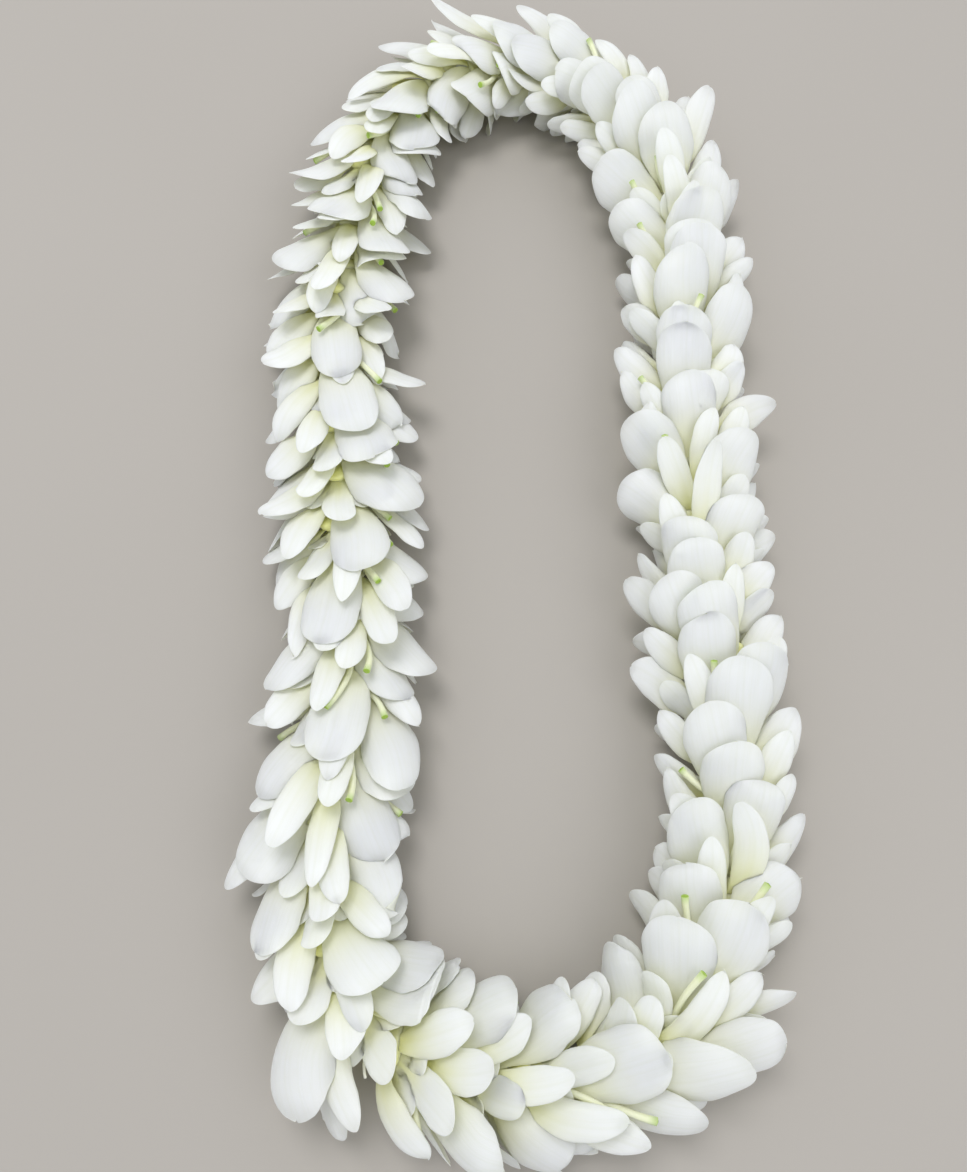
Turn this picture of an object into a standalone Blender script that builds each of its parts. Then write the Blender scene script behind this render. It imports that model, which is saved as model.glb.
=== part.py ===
"""A fresh flower lei: white dendrobium orchids threaded through their middles on a tied loop of string.

The strand lies on a flat surface, +Z up, and its loop is longest along Y. The origin is on that surface,
under the middle of the loop. Every bloom opens the same way along the thread, so its petals lie over the
base of the next bloom, in layers. All sizes are in metres and all angles in radians.
"""

import math
import random

import bmesh
import bpy
import numpy as np
from mathutils import Vector

# The loop: the middle of the strand seen from above, going anticlockwise from the tie. LOOP_MIDDLE is what
# it is moved by to bring the middle of the whole lei's box to the origin.
LOOP_POINTS = (
    (-0.049, -0.200), (-0.001, -0.215), (0.045, -0.203), (0.067, -0.168), (0.075, -0.122),
    (0.0735, -0.072), (0.0715, -0.020), (0.071, 0.032), (0.0735, 0.085), (0.071, 0.130),
    (0.060, 0.170), (0.035, 0.204), (-0.003, 0.215), (-0.040, 0.200), (-0.062, 0.165),
    (-0.070, 0.120), (-0.075, 0.070), (-0.071, 0.015), (-0.065, -0.040), (-0.064, -0.095),
    (-0.067, -0.150),
)
LOOP_MIDDLE = (-0.00180, -0.00076)
LOOP_STEPS = 64
LOOP_STATIONS = 2048
LOOP_SMOOTHING = 24

# The strand's section: wider than it is tall, and pressed flat on the surface below it.
STRAND_HEIGHT = 0.0202
WIDENED = 1.13
FLATTENED = 0.82
PRESS_SOFTNESS = 0.004
PRESS_DROP = 0.0011
FLAT_BELOW = 0.0015

# The blooms along the thread.
SEED = 121
BLOOMS = 92
BLOOMS_PER_NODE = 2
TIE_GAP = 0.006
NODE_GAP = 0.0003
CORE_LEAD = 0.0034
LIP_JITTER = 0.8

# The bell that the leaves of a bloom follow: its angle from the thread falls from root to tip.
ROOT_RADIUS = 0.0028
BELL_ROOT_ANGLE = math.radians(64)
BELL_TIP_ANGLE = math.radians(33)
BELL_LENGTH = 0.034
TOP_LEAN = 0.012
TIE_SPREAD = 0.32
TIE_SPREAD_LENGTH = 0.030

# On one side of the loop the upper leaves droop further along the thread and close in towards it.
CLOSED_LEAN = 0.008
CLOSED_IN = 0.22

# The slow unevenness of a strand made by hand: how much, waves round the loop, twist round the thread, start.
SWELLS = ((0.120, 1, 0, 3.14), (0.040, 9, 0, 0.6), (0.040, 17, 2, 2.0))
LEANS = ((0.0028, 13, 1, 0.0), (0.0022, 22, -2, 1.0))

# A leaf's length, width, how far out it is widest, roundness, half of its room round the thread, looseness.
PETAL = (0.0335, 0.0295, 0.60, 0.55, math.radians(39.5), 1.0)
SEPAL = (0.0310, 0.0125, 0.45, 0.85, math.radians(19), 1.0)
LIP = (0.0230, 0.0135, 0.50, 0.80, math.radians(24), 0.5)
BLADE_THICKNESS = 0.0007
LEAF_STEP = 0.02

# Where each kind of leaf sits in the bloom: round the thread from the lip, and in shares of the pitch.
SIDE_SEPAL_ANGLE = math.radians(49)
PETAL_ANGLE = math.radians(114)
LIP_LAYER = 0.72
PETAL_LAYER = 0.44
SEPAL_LAYER = 0.16

# How much one leaf differs from the next, in shares of the pitch or, for the lift, in metres.
LENGTHS = (0.92, 1.08)
WIDTHS = (0.93, 1.05)
TWISTS = (-0.10, 0.10)
FLARES = (-0.12, 0.08)
CUPS = (0.00, 0.10)
LIFTS = (-0.0010, 0.0040)
SWAYS = (-0.18, 0.18)

# Rows of points across a leaf beyond its root: how far out each is, and where its points lie.
PETAL_ROWS = ((0.42, (-1, 0, 1)), (0.76, (-1, 0, 1)), (0.985, (-1, 1)))
NARROW_ROWS = ((0.50, (-1, 1)), (1.0, (0,)))
LIP_ROWS = ((0.55, (-1, 1)), (1.0, (0,)))

# What each bloom is threaded through, and the stalk that it was picked by.
CORE_SIDES = 6
SIDE_TURN = math.tau / CORE_SIDES
CORE_RADIUS = 0.0040
CHIN_RADIUS = 0.0058
BAND = 0.0008
BORE_RADIUS = 0.0011
STALK_ANGLE = math.radians(98)
STALK_LAYER = -0.06
STALK_LENGTHS = (0.018, 0.025)
STALK_LOWEST = -0.3
STALK_ROOT = 0.0016
STALK_WIDTH = 0.0019

# The thread.
THREAD_RADIUS = 0.0005
KNOT_RADIUS = 0.0019
TAIL_LENGTH = 0.012
TAIL_OFFSET = -0.0022
TAIL_ANGLES = (math.radians(25), math.radians(150))
TAIL_STEPS = (0.25, 0.6, 1.0)


class Strand:
    """The smooth closed line along the middle of the strand, and the space round it."""

    def __init__(self):
        dense = self.through(np.array(LOOP_POINTS) - LOOP_MIDDLE, LOOP_STEPS)
        kernel = np.hanning(2 * LOOP_SMOOTHING + 1)
        dense = self.smoothed(dense, kernel / kernel.sum())
        closed = np.vstack([dense, dense[:1]])
        walked = np.concatenate([[0], np.cumsum(np.linalg.norm(np.diff(closed, axis=0), axis=1))])
        self.length = walked[-1]
        self.stations = np.linspace(0, self.length, LOOP_STATIONS + 1)
        self.line = np.column_stack([np.interp(self.stations, walked, closed[:, i]) for i in (0, 1)])
        step = np.roll(self.line[:-1], -1, axis=0) - np.roll(self.line[:-1], 1, axis=0)
        step /= np.linalg.norm(step, axis=1)[:, None]
        self.along = np.vstack([step, step[:1]])

    @staticmethod
    def through(points, steps):
        """A closed Catmull-Rom curve through the points."""
        before, after, beyond = (np.roll(points, shift, axis=0) for shift in (1, -1, -2))
        pieces = []
        for t in np.linspace(0, 1, steps, endpoint=False):
            pieces.append(0.5 * (
                2 * points
                + (after - before) * t
                + (2 * before - 5 * points + 4 * after - beyond) * t**2
                + (3 * points - before - 3 * after + beyond) * t**3
            ))
        return np.stack(pieces, axis=1).reshape(-1, 2)

    @staticmethod
    def smoothed(line, kernel):
        reach = len(kernel) // 2
        padded = np.vstack([line[-reach:], line, line[:reach]])
        return np.column_stack([np.convolve(padded[:, i], kernel, mode="valid") for i in (0, 1)])

    def point(self, s, radius, angle):
        """The place at s along the thread, off it by radius. Angle 0 is out of the loop, 90 degrees is up."""
        s, radius = self.loosened(s, radius, angle)
        s %= self.length
        x, y = (np.interp(s, self.stations, self.line[:, i]) for i in (0, 1))
        tx, ty = (np.interp(s, self.stations, self.along[:, i]) for i in (0, 1))
        out = WIDENED * radius * math.cos(angle)
        height = self.pressed(STRAND_HEIGHT + FLATTENED * radius * math.sin(angle))
        return Vector((x + out * ty, y - out * tx, height))

    def loosened(self, s, radius, angle):
        """The slow unevenness of a strand made by hand, and the spread of the blooms beside the tie."""
        turn = math.tau * s / self.length
        share = radius / BELL_LENGTH
        swell, lean = (
            sum(size * math.sin(waves * turn + twist * angle + begin) for size, waves, twist, begin in kind)
            for kind in (SWELLS, LEANS)
        )
        from_tie = (s + self.length / 2) % self.length - self.length / 2
        spread = TIE_SPREAD * math.exp(-(from_tie / TIE_SPREAD_LENGTH) ** 2)
        part = s / self.length % 1
        closed = smooth_step(part, 0.46, 0.62) * (1 - smooth_step(part, 0.92, 1.00)) * (1 + math.sin(angle)) / 2
        ahead = lean + TOP_LEAN * math.sin(angle) + CLOSED_LEAN * closed - spread * radius
        return s + ahead * share, radius * (1 + (swell - CLOSED_IN * closed) * share)

    @staticmethod
    def pressed(height):
        return 0.5 * (height + math.hypot(height, PRESS_SOFTNESS)) - PRESS_DROP


STRAND = Strand()
PITCH = (STRAND.length - TIE_GAP) / BLOOMS


def bloom_start(index):
    return TIE_GAP / 2 + index * PITCH


def lip_direction(s):
    """The lips point sideways on one side of the loop and slantwise on the other."""
    turn = s / STRAND.length
    return math.pi / 2 * (1 + smooth_step(turn, 0.00, 0.14) + 0.65 * smooth_step(turn, 0.44, 0.60))


def smooth_step(value, low, high):
    share = min(max((value - low) / (high - low), 0), 1)
    return share * share * (3 - 2 * share)


def bell(distance):
    """How far a point that far out along a petal lies from the thread, and along it."""
    bend = (BELL_TIP_ANGLE - BELL_ROOT_ANGLE) / BELL_LENGTH
    angle = BELL_ROOT_ANGLE + bend * distance
    radius = ROOT_RADIUS + (math.cos(BELL_ROOT_ANGLE) - math.cos(angle)) / bend
    along = (math.sin(angle) - math.sin(BELL_ROOT_ANGLE)) / bend
    return radius, along


class Blade:
    """One petal, sepal or lip: a thin leaf that grows out from the middle of a bloom."""

    def __init__(self, start, angle, form, layer, rng):
        length, width, widest, roundness, sector, loose = form
        self.start = start
        self.angle = angle
        self.sector = sector
        self.length = length * rng.uniform(*LENGTHS)
        self.half_width = width / 2 * rng.uniform(*WIDTHS)
        self.skew = math.log(0.5) / math.log(widest)
        self.roundness = roundness
        self.layer = layer
        self.twist = loose * rng.uniform(*TWISTS)
        self.flare = loose * rng.uniform(*FLARES)
        self.cup = rng.uniform(*CUPS)
        self.lift = rng.uniform(*LIFTS)
        self.sway = loose * rng.uniform(*SWAYS)

    def point(self, share, across):
        """share runs from root to tip, across from one edge, -1, to the other, 1."""
        radius, along = bell(share * self.length)
        width = self.half_width * math.sin(math.pi * min(share, 0.9999) ** self.skew) ** self.roundness
        angle = self.angle + across * min(width / radius, self.sector) + self.sway * share**2
        under = max(-math.sin(angle), 0)
        radius += self.lift * share**3 * (1 - under)
        depth = self.layer + self.flare * share**2 + share * across * (self.twist + self.cup * across)
        place = STRAND.point(self.start + along + depth * PITCH, radius, angle)
        place.z = max(place.z, BLADE_THICKNESS / 2)
        return place

    def faces_of(self, share, across):
        """The outer and the inner face's point there, half the thickness to either side."""
        out = self.point(min(share + LEAF_STEP, 1), 0) - self.point(share - LEAF_STEP, 0)
        wide = min(share, 1 - 5 * LEAF_STEP)
        over = self.point(wide, across + 5 * LEAF_STEP) - self.point(wide, across - 5 * LEAF_STEP)
        half = over.cross(out).normalized() * BLADE_THICKNESS / 2
        place = self.point(share, across)
        outer, inner = place - half, place + half
        if outer.z < FLAT_BELOW:
            inner.z = max(inner.z - outer.z, BLADE_THICKNESS)
            outer.z = 0
        return outer, inner


def bloom_blades(index):
    """A bloom's lip direction and its six leaves, in order round the thread from the lip."""
    rng = random.Random(SEED * 1000 + index)
    start = bloom_start(index)
    lip = lip_direction(start) + math.pi * (index % 2) + rng.uniform(-LIP_JITTER, LIP_JITTER)
    leaves = (
        (0, LIP, LIP_ROWS, LIP_LAYER),
        (SIDE_SEPAL_ANGLE, SEPAL, NARROW_ROWS, SEPAL_LAYER),
        (PETAL_ANGLE, PETAL, PETAL_ROWS, PETAL_LAYER),
        (math.pi, SEPAL, NARROW_ROWS, SEPAL_LAYER),
        (-PETAL_ANGLE, PETAL, PETAL_ROWS, PETAL_LAYER),
        (-SIDE_SEPAL_ANGLE, SEPAL, NARROW_ROWS, SEPAL_LAYER),
    )
    blades = [(Blade(start, lip + turn, form, layer, rng), rows) for turn, form, rows, layer in leaves]
    stalk_side = rng.choice((-1, 1))
    if math.sin(lip + stalk_side * STALK_ANGLE) < STALK_LOWEST:
        stalk_side = -stalk_side
    stalk_length = rng.uniform(*STALK_LENGTHS)
    return lip, blades, stalk_side, stalk_length


def bridge(mesh, low, high):
    """Triangles between two rows of one to three points, the same way for both faces of a blade."""
    i, j = 0, 0
    while i < len(low) - 1 or j < len(high) - 1:
        low_next = ((i + 1) / (len(low) - 1), len(low)) if i < len(low) - 1 else (2, 0)
        high_next = ((j + 1) / (len(high) - 1), len(high)) if j < len(high) - 1 else (2, 0)
        if low_next <= high_next:
            mesh.faces.new((low[i], low[i + 1], high[j]))
            i += 1
        else:
            mesh.faces.new((low[i], high[j + 1], high[j]))
            j += 1


def grow_blade(mesh, blade, rows, outer, inner):
    """Lofts a blade from the two edges of a band face of the core, which it takes the place of."""
    for share, places in rows:
        pairs = [blade.faces_of(share, across) for across in places]
        next_outer = [mesh.verts.new(pair[0]) for pair in pairs]
        next_inner = [mesh.verts.new(pair[1]) for pair in pairs]
        bridge(mesh, outer, next_outer)
        bridge(mesh, inner, next_inner)
        for edge in (0, -1):
            mesh.faces.new((outer[edge], next_outer[edge], next_inner[edge], inner[edge]))
        outer, inner = next_outer, next_inner
    if len(outer) > 1:
        mesh.faces.new(outer + inner[::-1])


def grow_stalk(mesh, start, angle, length, corners):
    """Insets a square in a face of the core and draws it out into the stalk, behind the sepals."""
    middle = sum((corner.co for corner in corners), Vector()) / 4
    along = (corners[2].co + corners[3].co - corners[0].co - corners[1].co).normalized()
    across = (corners[1].co + corners[2].co - corners[0].co - corners[3].co).normalized()
    radius, ahead = bell(length)
    tip = STRAND.point(start + ahead + STALK_LAYER * PITCH, radius, angle)
    axis = (tip - middle).normalized()
    tip_across = (across - across.dot(axis) * axis).normalized()
    tip_along = tip_across.cross(axis)
    if tip_along.dot(along) < 0:
        tip_along = -tip_along
    root, end = [], []
    for x, y in ((-1, -1), (1, -1), (1, 1), (-1, 1)):
        root.append(mesh.verts.new(middle + STALK_ROOT / 2 * (x * across + y * along)))
        end.append(mesh.verts.new(tip + STALK_WIDTH / 2 * (x * tip_across + y * tip_along)))
    for side in range(4):
        after = (side + 1) % 4
        mesh.faces.new((corners[side], corners[after], root[after], root[side]))
        mesh.faces.new((root[side], root[after], end[after], end[side]))
    mesh.faces.new(end)


def ring(mesh, s, radius, phase, chin=None):
    """Corners round the thread at s. The two at the lip's side can stand out as the bloom's chin."""
    corners = []
    for side in range(CORE_SIDES):
        reach = CHIN_RADIUS if chin is not None and (side - chin) % CORE_SIDES in (0, 1) else radius
        corners.append(mesh.verts.new(STRAND.point(s, reach, phase + (side - 0.5) * SIDE_TURN)))
    return corners


def wall(mesh, near, far, skipped=()):
    """The faces between two rings of the core, but for the sides that grow something."""
    for side in range(CORE_SIDES):
        after = (side + 1) % CORE_SIDES
        if side not in skipped:
            mesh.faces.new((near[side], near[after], far[after], far[side]))


def bloom_node(name, first, last, finish, collection):
    """One node: neighbouring blooms on one length of core, with the channel that the thread runs in."""
    mesh = bmesh.new()
    low = bloom_start(first) + NODE_GAP / 2
    high = bloom_start(last + 1) - NODE_GAP / 2
    phase = 0
    latest = None
    for index in range(first, last + 1):
        lip, blades, stalk_side, stalk_length = bloom_blades(index)
        start = bloom_start(index)
        chin = round((lip - phase) / SIDE_TURN)
        phase = lip - chin * SIDE_TURN
        neck = ring(mesh, start if latest else low, CORE_RADIUS, phase)
        near = ring(mesh, start + CORE_LEAD - BAND / 2, CORE_RADIUS, phase, chin)
        far = ring(mesh, start + CORE_LEAD + BAND / 2, CORE_RADIUS, phase, chin)
        if latest:
            wall(mesh, latest, neck)
        else:
            opening = neck
            bore_low = ring(mesh, low, BORE_RADIUS, phase)
        stalk_face = (chin + 2 * stalk_side) % CORE_SIDES
        wall(mesh, neck, near, (stalk_face,))
        after = (stalk_face + 1) % CORE_SIDES
        corners = (neck[stalk_face], neck[after], near[after], near[stalk_face])
        grow_stalk(mesh, start, lip + stalk_side * STALK_ANGLE, stalk_length, corners)
        for side, (blade, rows) in enumerate(blades):
            a, b = (chin + side) % CORE_SIDES, (chin + side + 1) % CORE_SIDES
            grow_blade(mesh, blade, rows, [near[a], near[b]], [far[a], far[b]])
        latest = far
    ending = ring(mesh, high, CORE_RADIUS, phase)
    bore_high = ring(mesh, high, BORE_RADIUS, phase)
    for near, far in ((latest, ending), (ending, bore_high), (bore_high, bore_low), (bore_low, opening)):
        wall(mesh, near, far)
    bmesh.ops.recalc_face_normals(mesh, faces=mesh.faces)
    return object_from(name, mesh, finish, collection)


def object_from(name, mesh, finish, collection):
    data = bpy.data.meshes.new(name)
    mesh.to_mesh(data)
    mesh.free()
    if finish:
        data.materials.append(finish)
    made = bpy.data.objects.new(name, data)
    collection.objects.link(made)
    return made


def string_mesh(name, points, cyclic):
    """A length of string through the points, as a closed mesh."""
    curve = bpy.data.curves.new(name, "CURVE")
    curve.dimensions = "3D"
    curve.bevel_depth = THREAD_RADIUS
    curve.bevel_resolution = 1
    curve.use_fill_caps = True
    spline = curve.splines.new("POLY")
    spline.points.add(len(points) - 1)
    spline.use_cyclic_u = cyclic
    for place, point in zip(spline.points, points):
        place.co = (*point, 1)
    guide = bpy.data.objects.new(name, curve)
    bpy.context.scene.collection.objects.link(guide)
    graph = bpy.context.evaluated_depsgraph_get()
    data = bpy.data.meshes.new_from_object(guide.evaluated_get(graph))
    mesh = bmesh.new()
    mesh.from_mesh(data)
    bmesh.ops.remove_doubles(mesh, verts=mesh.verts, dist=0.00001)
    bpy.data.objects.remove(guide)
    bpy.data.meshes.remove(data)
    return mesh


def thread_node(name, finish, collection):
    """The string through all the blooms, tied in one knot with two short ends, as one body."""
    nodes = BLOOMS // BLOOMS_PER_NODE
    turns = [STRAND.point(bloom_start(number * BLOOMS_PER_NODE), 0, 0) for number in range(nodes + 1)]
    thread = object_from(name, string_mesh(name, turns, True), None, collection)
    extras = bpy.data.collections.new("knot_pieces")
    bpy.context.scene.collection.children.link(extras)
    knot = bmesh.new()
    bmesh.ops.create_icosphere(knot, subdivisions=1, radius=KNOT_RADIUS)
    bmesh.ops.translate(knot, vec=STRAND.point(0, 0, 0), verts=knot.verts)
    object_from("knot", knot, None, extras)
    for number, angle in enumerate(TAIL_ANGLES):
        tail = [STRAND.point(0, 0, 0)]
        for share in TAIL_STEPS:
            radius, ahead = bell(share * TAIL_LENGTH)
            tail.append(STRAND.point(TAIL_OFFSET + ahead, radius, angle))
        object_from(f"tail_{number}", string_mesh("tail", tail, False), None, extras)
    join = thread.modifiers.new("join", "BOOLEAN")
    join.operand_type = "COLLECTION"
    join.collection = extras
    join.operation = "UNION"
    graph = bpy.context.evaluated_depsgraph_get()
    joined = bpy.data.meshes.new_from_object(thread.evaluated_get(graph))
    thread.modifiers.clear()
    thread.data = joined
    joined.materials.clear()
    joined.materials.append(finish)
    for piece in list(extras.objects):
        bpy.data.objects.remove(piece)
    bpy.data.collections.remove(extras)
    return thread


def material(name, color, roughness):
    made = bpy.data.materials.new(name)
    made.use_nodes = True
    shader = made.node_tree.nodes["Principled BSDF"]
    shader.inputs["Base Color"].default_value = (*color, 1)
    shader.inputs["Roughness"].default_value = roughness
    shader.inputs["Metallic"].default_value = 0.0
    return made


def main():
    for obj in list(bpy.data.objects):
        bpy.data.objects.remove(obj)
    lei = bpy.data.collections.new("flower_lei")
    bpy.context.scene.collection.children.link(lei)
    petals = material("white_petals", (0.86, 0.87, 0.83), 0.55)
    for number in range(BLOOMS // BLOOMS_PER_NODE):
        first = number * BLOOMS_PER_NODE
        bloom_node(f"bloom_pair_{number + 1:02d}", first, first + BLOOMS_PER_NODE - 1, petals, lei)
    thread_node("thread", material("thread", (0.82, 0.82, 0.78), 0.8), lei)


main()
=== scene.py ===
"""The fresh flower lei, dressed: each pair of blooms gets finer petals, and the thread its twist and knot.

The strand and the blooms follow the same rules as the solids, from the same named values and the same
random draws, so each fine bloom starts where its solid lies. Then leaves that cross are parted a little.
All sizes are in metres and all angles in radians.
"""

import math
import random

import bpy
import numpy as np
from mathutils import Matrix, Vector
from mathutils.bvhtree import BVHTree

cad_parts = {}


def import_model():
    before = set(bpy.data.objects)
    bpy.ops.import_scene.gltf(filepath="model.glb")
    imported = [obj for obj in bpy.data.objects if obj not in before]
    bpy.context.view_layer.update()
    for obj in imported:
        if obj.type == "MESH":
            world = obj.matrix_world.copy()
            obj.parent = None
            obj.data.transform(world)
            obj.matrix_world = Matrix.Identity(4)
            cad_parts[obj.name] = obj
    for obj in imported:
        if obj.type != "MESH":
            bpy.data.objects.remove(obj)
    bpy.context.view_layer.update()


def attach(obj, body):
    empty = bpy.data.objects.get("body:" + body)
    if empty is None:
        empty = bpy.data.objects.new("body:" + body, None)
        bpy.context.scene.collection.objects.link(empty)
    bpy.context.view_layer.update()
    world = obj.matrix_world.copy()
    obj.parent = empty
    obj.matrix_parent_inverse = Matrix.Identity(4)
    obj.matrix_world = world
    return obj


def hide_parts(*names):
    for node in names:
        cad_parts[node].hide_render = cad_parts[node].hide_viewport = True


# The loop, as in the solids: the middle of the strand seen from above, going anticlockwise from the tie.
# LOOP_MIDDLE is what it is moved by to bring the middle of the whole lei's box to the origin.
LOOP_POINTS = (
    (-0.049, -0.200), (-0.001, -0.215), (0.045, -0.203), (0.067, -0.168), (0.075, -0.122),
    (0.0735, -0.072), (0.0715, -0.020), (0.071, 0.032), (0.0735, 0.085), (0.071, 0.130),
    (0.060, 0.170), (0.035, 0.204), (-0.003, 0.215), (-0.040, 0.200), (-0.062, 0.165),
    (-0.070, 0.120), (-0.075, 0.070), (-0.071, 0.015), (-0.065, -0.040), (-0.064, -0.095),
    (-0.067, -0.150),
)
LOOP_MIDDLE = (-0.00180, -0.00076)
LOOP_STEPS = 64
LOOP_STATIONS = 2048
LOOP_SMOOTHING = 24

# The strand's section, as in the solids: wider than it is tall, and pressed flat on the surface below it.
STRAND_HEIGHT = 0.0202
WIDENED = 1.13
FLATTENED = 0.82
PRESS_SOFTNESS = 0.004
PRESS_DROP = 0.0011

# The blooms along the thread, as in the solids.
SEED = 121
BLOOMS = 92
BLOOMS_PER_NODE = 2
TIE_GAP = 0.006
NODE_GAP = 0.0003
CORE_LEAD = 0.0034
BORE_RADIUS = 0.0011
LIP_JITTER = 0.8

# The bell that the leaves of a bloom follow, as in the solids: its angle falls from root to tip.
ROOT_RADIUS = 0.0028
BELL_ROOT_ANGLE = math.radians(64)
BELL_TIP_ANGLE = math.radians(33)
BELL_LENGTH = 0.034
TOP_LEAN = 0.012
TIE_SPREAD = 0.32
TIE_SPREAD_LENGTH = 0.030

# On one side of the loop the upper leaves droop further along the thread and close in towards it, as in
# the solids. This comes and goes between these shares of the way round.
CLOSED_LEAN = 0.008
CLOSED_IN = 0.22
CLOSED_COMES = (0.46, 0.62)
CLOSED_GOES = (0.92, 1.00)

# The slow unevenness of a strand made by hand, as in the solids: how much, waves round the loop, twist
# round the thread, start.
SWELLS = ((0.120, 1, 0, 3.14), (0.040, 9, 0, 0.6), (0.040, 17, 2, 2.0))
LEANS = ((0.0028, 13, 1, 0.0), (0.0022, 22, -2, 1.0))

# Where the lips turn round the thread, in shares of the way round the loop, as in the solids. The first is
# a quarter turn, the second a share of one.
FIRST_TURN = (0.00, 0.14)
SECOND_TURN = (0.44, 0.60)
SECOND_TURN_SHARE = 0.65

# Where the leaves sit round the thread from the lip, as in the solids. Only the scene has the lip's lobes.
SIDE_SEPAL_ANGLE = math.radians(49)
PETAL_ANGLE = math.radians(114)
LOBE_ANGLE = math.radians(38)

# How one leaf differs from the next, in the same draws as in the solids.
LENGTHS = (0.92, 1.08)
WIDTHS = (0.93, 1.05)
TWISTS = (-0.10, 0.10)
FLARES = (-0.12, 0.08)
CUPS = (0.00, 0.10)
LIFTS = (-0.0010, 0.0040)
SWAYS = (-0.18, 0.18)

# The finer differences, which the solids don't have. The blooms beside the tie are larger and turn less.
TURNS = (0.5, 1.25)
FOLDS = (0.3, 2.2)
WAVES = (1.2, 2.4)
BUCKLES = (-0.0010, 0.0010)
UNEVENNESS = (-0.07, 0.07)
NOTCHES = (-0.5, 0.6)
TIE_GROWN = 0.12
TIE_UNTURNED = 0.5

# A leaf's outline: its slow and fine edge waves, and the notch that some have at the tip.
EDGE_WAVE = 0.035
FINE_EDGE_WAVE = 0.020
FINE_EDGE_WAVES = 4.3
FINE_EDGE_PHASE = 2.1
NOTCH_START = 0.90
NOTCH_WIDTH = 0.45
NOTCH_DEPTH = 0.020

# The share of its length by which a leaf has reached its own layer of the bloom.
LAYER_REACHED = 0.35

# A leaf's own bends: the shares of its length over which they grow, the powers of its curl and tuck, how
# far apart the ruffles of its two halves are, and the buckles along it.
TURN_GROWS = (0.05, 0.6)
DOME_GROWS = (0.10, 0.55)
CURL_POWER = 3.5
TUCK_POWER = 1.8
HALVES_APART = 1.5
BUCKLE_WAVES = 2.1
BUCKLE_SLANT = 1.4

# The groove along a leaf's middle, and how a leaf thins out at its edges and tip.
GROOVE_WIDTH = 0.0011
GROOVE_GROWS = (0.02, 0.25)
GROOVE_FADES = (0.6, 0.97)
THIN_TIP = (0.86, 1.0)
THINNED = 0.72

# A leaf's grid stops just short of its tip, and is closer near its tip and edges. Between these heights its
# bends fade, because it is pressed down there.
LAST_ROW = 0.9995
EDGE_CROWDING = 0.94
PRESSED_HEIGHTS = (0.0002, 0.0060)
FLOOR_CLEAR = 0.00004

# The moves that part leaves which cross: bent in towards the thread, swung aside, and how much of the
# length is kept. A leaf is tested against those of the blooms this near.
SMALL_MOVES = tuple((tuck, 0.0, 1.0) for tuck in (0.0, 0.03, 0.06, 0.09, 0.12, 0.16, 0.20))
LARGE_MOVES = tuple(
    (tuck, aside, kept)
    for kept in (1.0, 0.88, 0.76) for aside in (0.0, -0.09, 0.09, -0.18, 0.18, -0.28, 0.28)
    for tuck in (0.0, -0.05, 0.05, 0.10, 0.16, 0.24)
)
BLOOMS_NEAR_LEAF = range(-3, 4)

# The throat of a bloom and the chin behind its lip.
CORE_ROWS = 14
CORE_SIDES = 20
CORE_RADIUS = 0.0032
CORE_END = 0.96
THROAT_SWELL = 0.0026
THROAT_LENGTH = 0.0030
THROAT_LOBES = 0.22
CHIN_SWELL = 0.0046
CHIN_LENGTH = 0.0040
CHIN_SPREAD = 0.72
CHIN_BACK = 0.0002

# The column: how far it starts off the thread and then rises, how far it runs along it, and its radius.
COLUMN_RISE = 0.0022
COLUMN_LENGTH = 0.0075
COLUMN_RADIUS = 0.0019
COLUMN_ROWS = 8
COLUMN_YELLOW = 0.35
COLUMN_SHADE = 0.6

# The stalks: placed as in the solids, then leaned into a gap. The costs weigh what a stalk runs into
# against how far it strays and how much is cut off it.
STALK_ANGLE = math.radians(98)
STALK_LAYER = -0.06
STALK_LENGTHS = (0.018, 0.025)
STALK_LOWEST = -0.3
STALK_ROWS = np.linspace(0.12, 1, 9)
STALK_RADII = np.array((1.40, 1.24, 1.16, 1.12, 1.10, 1.10, 1.14, 1.22, 1.34, 1.16)) / 1000
STALK_CUT = 0.02
STALK_BOW = 0.10
STALK_LEAD = 0.4
STALK_CLEAR = 0.0017
STALK_PLACES = tuple(
    (turn * 0.14, layer * 0.08, kept)
    for turn in range(-4, 5) for layer in range(-3, 4) for kept in (1.0, 0.9, 0.8, 0.7)
)
BLOOMS_NEAR_STALK = (-2, -1, 0, 1)
CROSSED_COST = 8
TURN_COST = 0.4
LAYER_COST = 0.8
CUT_COST = 1.5

# The thread: its tails as in the solids, its plies where the blooms leave it bare, and its overhand knot.
# The plies' offset and radius and the radius of the knot's cord are shares of the thread's radius.
THREAD_RADIUS = 0.0005
TAIL_LENGTH = 0.012
TAIL_OFFSET = -0.0022
TAIL_ANGLES = (math.radians(25), math.radians(150))
TAIL_TURN = 0.2
BARE_THREAD = 0.0055
PLY_OVERLAP = 0.001
PLY_TWIST = 0.0028
PLY_OFF = 0.5
PLY_RADIUS = 0.62
KNOT_SIZE = (0.00052, 0.00052, 0.00062)
KNOT_CORD = 0.95
THREAD_ROWS = 361
PLY_ROWS = 73
KNOT_ROWS = 97
TAIL_ROWS = 14
THREAD_TINT = (0.0, 0.0, 0.5)

# Every tube: the direction that its rings are set out from, and how far its caps bulge, as a share of its
# radius.
TUBE_SIDEWAYS = (0.31, 0.17, 0.93)
CAP_BULGE = 0.3

# Where a leaf is yellow, and a core. A leaf's yellow near its root is its throat's own colour; carried far
# up the leaf it is painted warm glow of light shining through the petals into the shaded gaps. The inner
# face is yellower, the more so at its root: partly its own colour, partly painted glow in the shade
# between the blooms. The narrow leaves have a yellow line along their middle.
YELLOW_FROM = 0.04
YELLOW_UNEVEN = 0.10
INNER_YELLOW_AND_GLOW = 0.75
INNER_FADE = 0.5
LINE_YELLOW = 0.10
LINE_WIDTH = 0.16
CORE_YELLOW = 0.62
CHIN_YELLOW = 0.95
BORE_YELLOW = 0.5
CORE_SHADE = 0.5

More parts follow.
